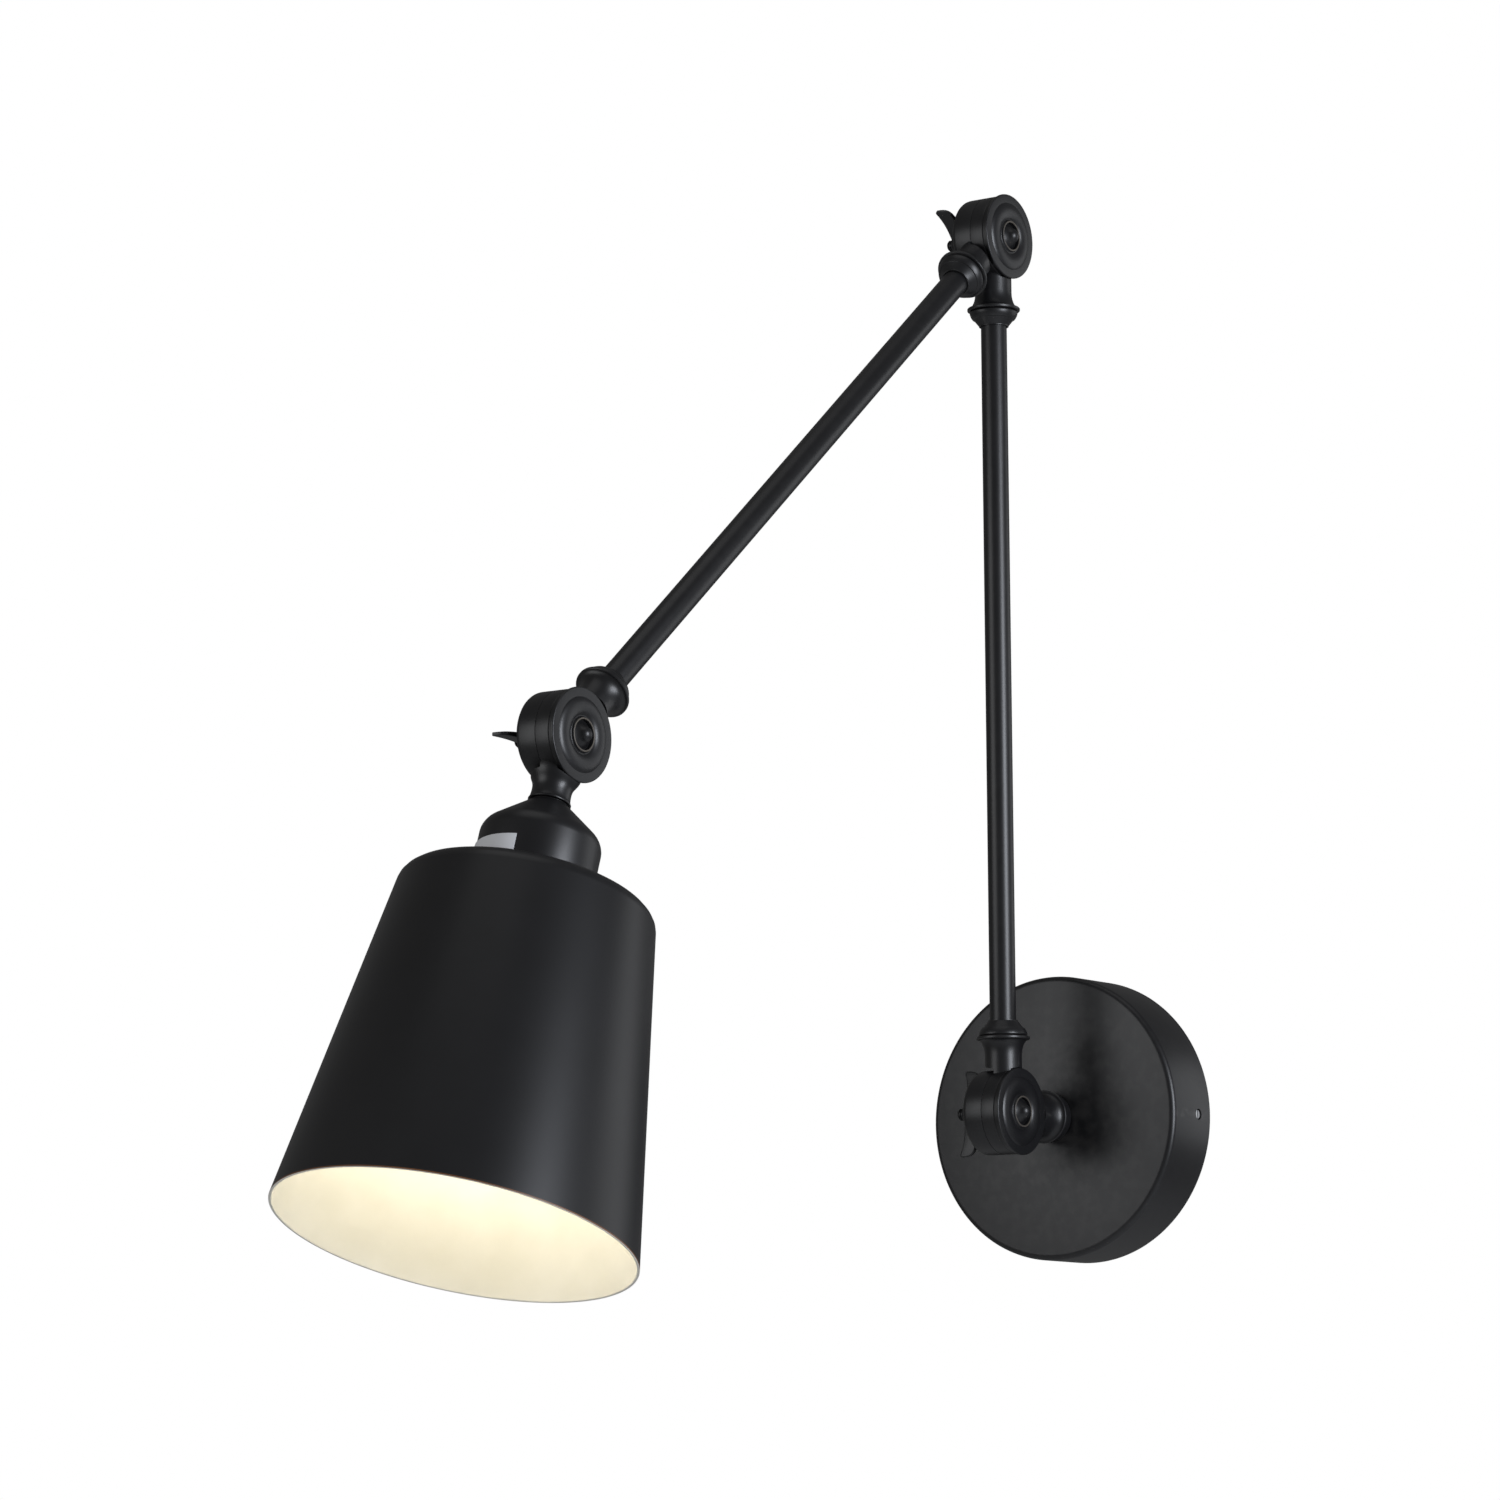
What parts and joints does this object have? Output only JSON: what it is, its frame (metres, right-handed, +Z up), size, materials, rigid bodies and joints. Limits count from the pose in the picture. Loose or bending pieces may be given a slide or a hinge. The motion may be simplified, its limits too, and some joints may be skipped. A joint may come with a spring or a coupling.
{
  "type": "swing arm wall sconce",
  "caption": "Black wall light: round canopy, tube arms jointed by clamped knuckles with wing nuts, bell socket cup and a tapered metal shade with a screw-in lamp.",
  "frame": {"origin": "centre of the wall bracket's back face, on the wall plane", "axes": "+Y into the wall, -Y out from the wall, +Z up, X along the wall and along every hinge axis"},
  "size_m": [0.136, 0.4943, 0.4794],
  "materials": {
    "black_paint": "satin black powder coat",
    "steel": "zinc plated",
    "brass": "plain",
    "washer_fibre": "matte",
    "holder_plastic": "matte",
    "terminal_plastic": "translucent",
    "flex_sheath": "matte",
    "lamp_cap": "plain",
    "bulb_glass": "frosted",
    "label_film": "matte"
  },
  "bodies": {
    "wall_mount": {"wall_bracket": "steel", "canopy": "black_paint", "canopy_side_screw_right": "steel", "canopy_side_screw_left": "steel", "ground_screw": "brass", "terminal_block": "terminal_plastic", "terminal_block_screw": "steel", "base_knuckle_rear": "black_paint", "canopy_collar": "black_paint", "canopy_nipple": "steel", "nipple_washer": "steel", "nipple_nut": "steel", "canopy_flex": "flex_sheath", "base_spring_washer": "steel"},
    "lower_arm": {"base_knuckle_front": "black_paint", "base_knuckle_cap": "black_paint", "base_pivot_bolt": "black_paint", "base_friction_washer": "washer_fibre", "lower_arm_tube": "black_paint", "lower_arm_base_collar": "black_paint", "lower_arm_elbow_collar": "black_paint", "lower_arm_flex": "flex_sheath", "elbow_knuckle_front": "black_paint", "elbow_knuckle_cap": "black_paint", "elbow_pivot_bolt": "black_paint", "elbow_friction_washer": "washer_fibre"},
    "upper_arm": {"elbow_knuckle_rear": "black_paint", "elbow_spring_washer": "steel", "upper_arm_tube": "black_paint", "upper_arm_elbow_collar": "black_paint", "upper_arm_head_collar": "black_paint", "upper_arm_flex": "flex_sheath", "head_knuckle_rear": "black_paint", "head_spring_washer": "steel"},
    "lamp_head": {"head_knuckle_front": "black_paint", "head_knuckle_cap": "black_paint", "head_pivot_bolt": "black_paint", "head_friction_washer": "washer_fibre", "socket_cup": "black_paint", "socket_cup_nut": "steel", "socket_label": "label_film", "lamp_holder": "holder_plastic", "lamp_holder_shell": "brass", "lamp_holder_contact": "brass", "shade": "black_paint", "shade_ring": "holder_plastic", "bulb_cap": "lamp_cap", "bulb_glass": "bulb_glass", "head_flex": "flex_sheath"},
    "base_wing": {"base_wing_nut": "black_paint"},
    "elbow_wing": {"elbow_wing_nut": "black_paint"},
    "head_wing": {"head_wing_nut": "black_paint"}
  },
  "joints": [
    {"name": "base_pivot", "type": "hinge", "parent": "wall_mount", "child": "lower_arm", "pos_m": [0, -0.0666, 0], "axis": [1, 0, 0], "range_deg": [-5, 120]},
    {"name": "elbow_pivot", "type": "hinge", "parent": "lower_arm", "child": "upper_arm", "pos_m": [0, -0.06985, 0.37249], "axis": [1, 0, 0], "range_deg": [-180, 0]},
    {"name": "head_pivot", "type": "hinge", "parent": "upper_arm", "child": "lamp_head", "pos_m": [0, -0.36658, 0.12173], "axis": [1, 0, 0], "range_deg": [-121, 59]},
    {"name": "base_wing_turn", "type": "hinge", "parent": "lower_arm", "child": "base_wing", "pos_m": [0, -0.0666, 0], "axis": [1, 0, 0], "range_deg": [-270, 0]},
    {"name": "elbow_wing_turn", "type": "hinge", "parent": "lower_arm", "child": "elbow_wing", "pos_m": [0, -0.06985, 0.37249], "axis": [1, 0, 0], "range_deg": [-270, 0]},
    {"name": "head_wing_turn", "type": "hinge", "parent": "lamp_head", "child": "head_wing", "pos_m": [0, -0.36658, 0.12173], "axis": [1, 0, 0], "range_deg": [-270, 0]}
  ]
}
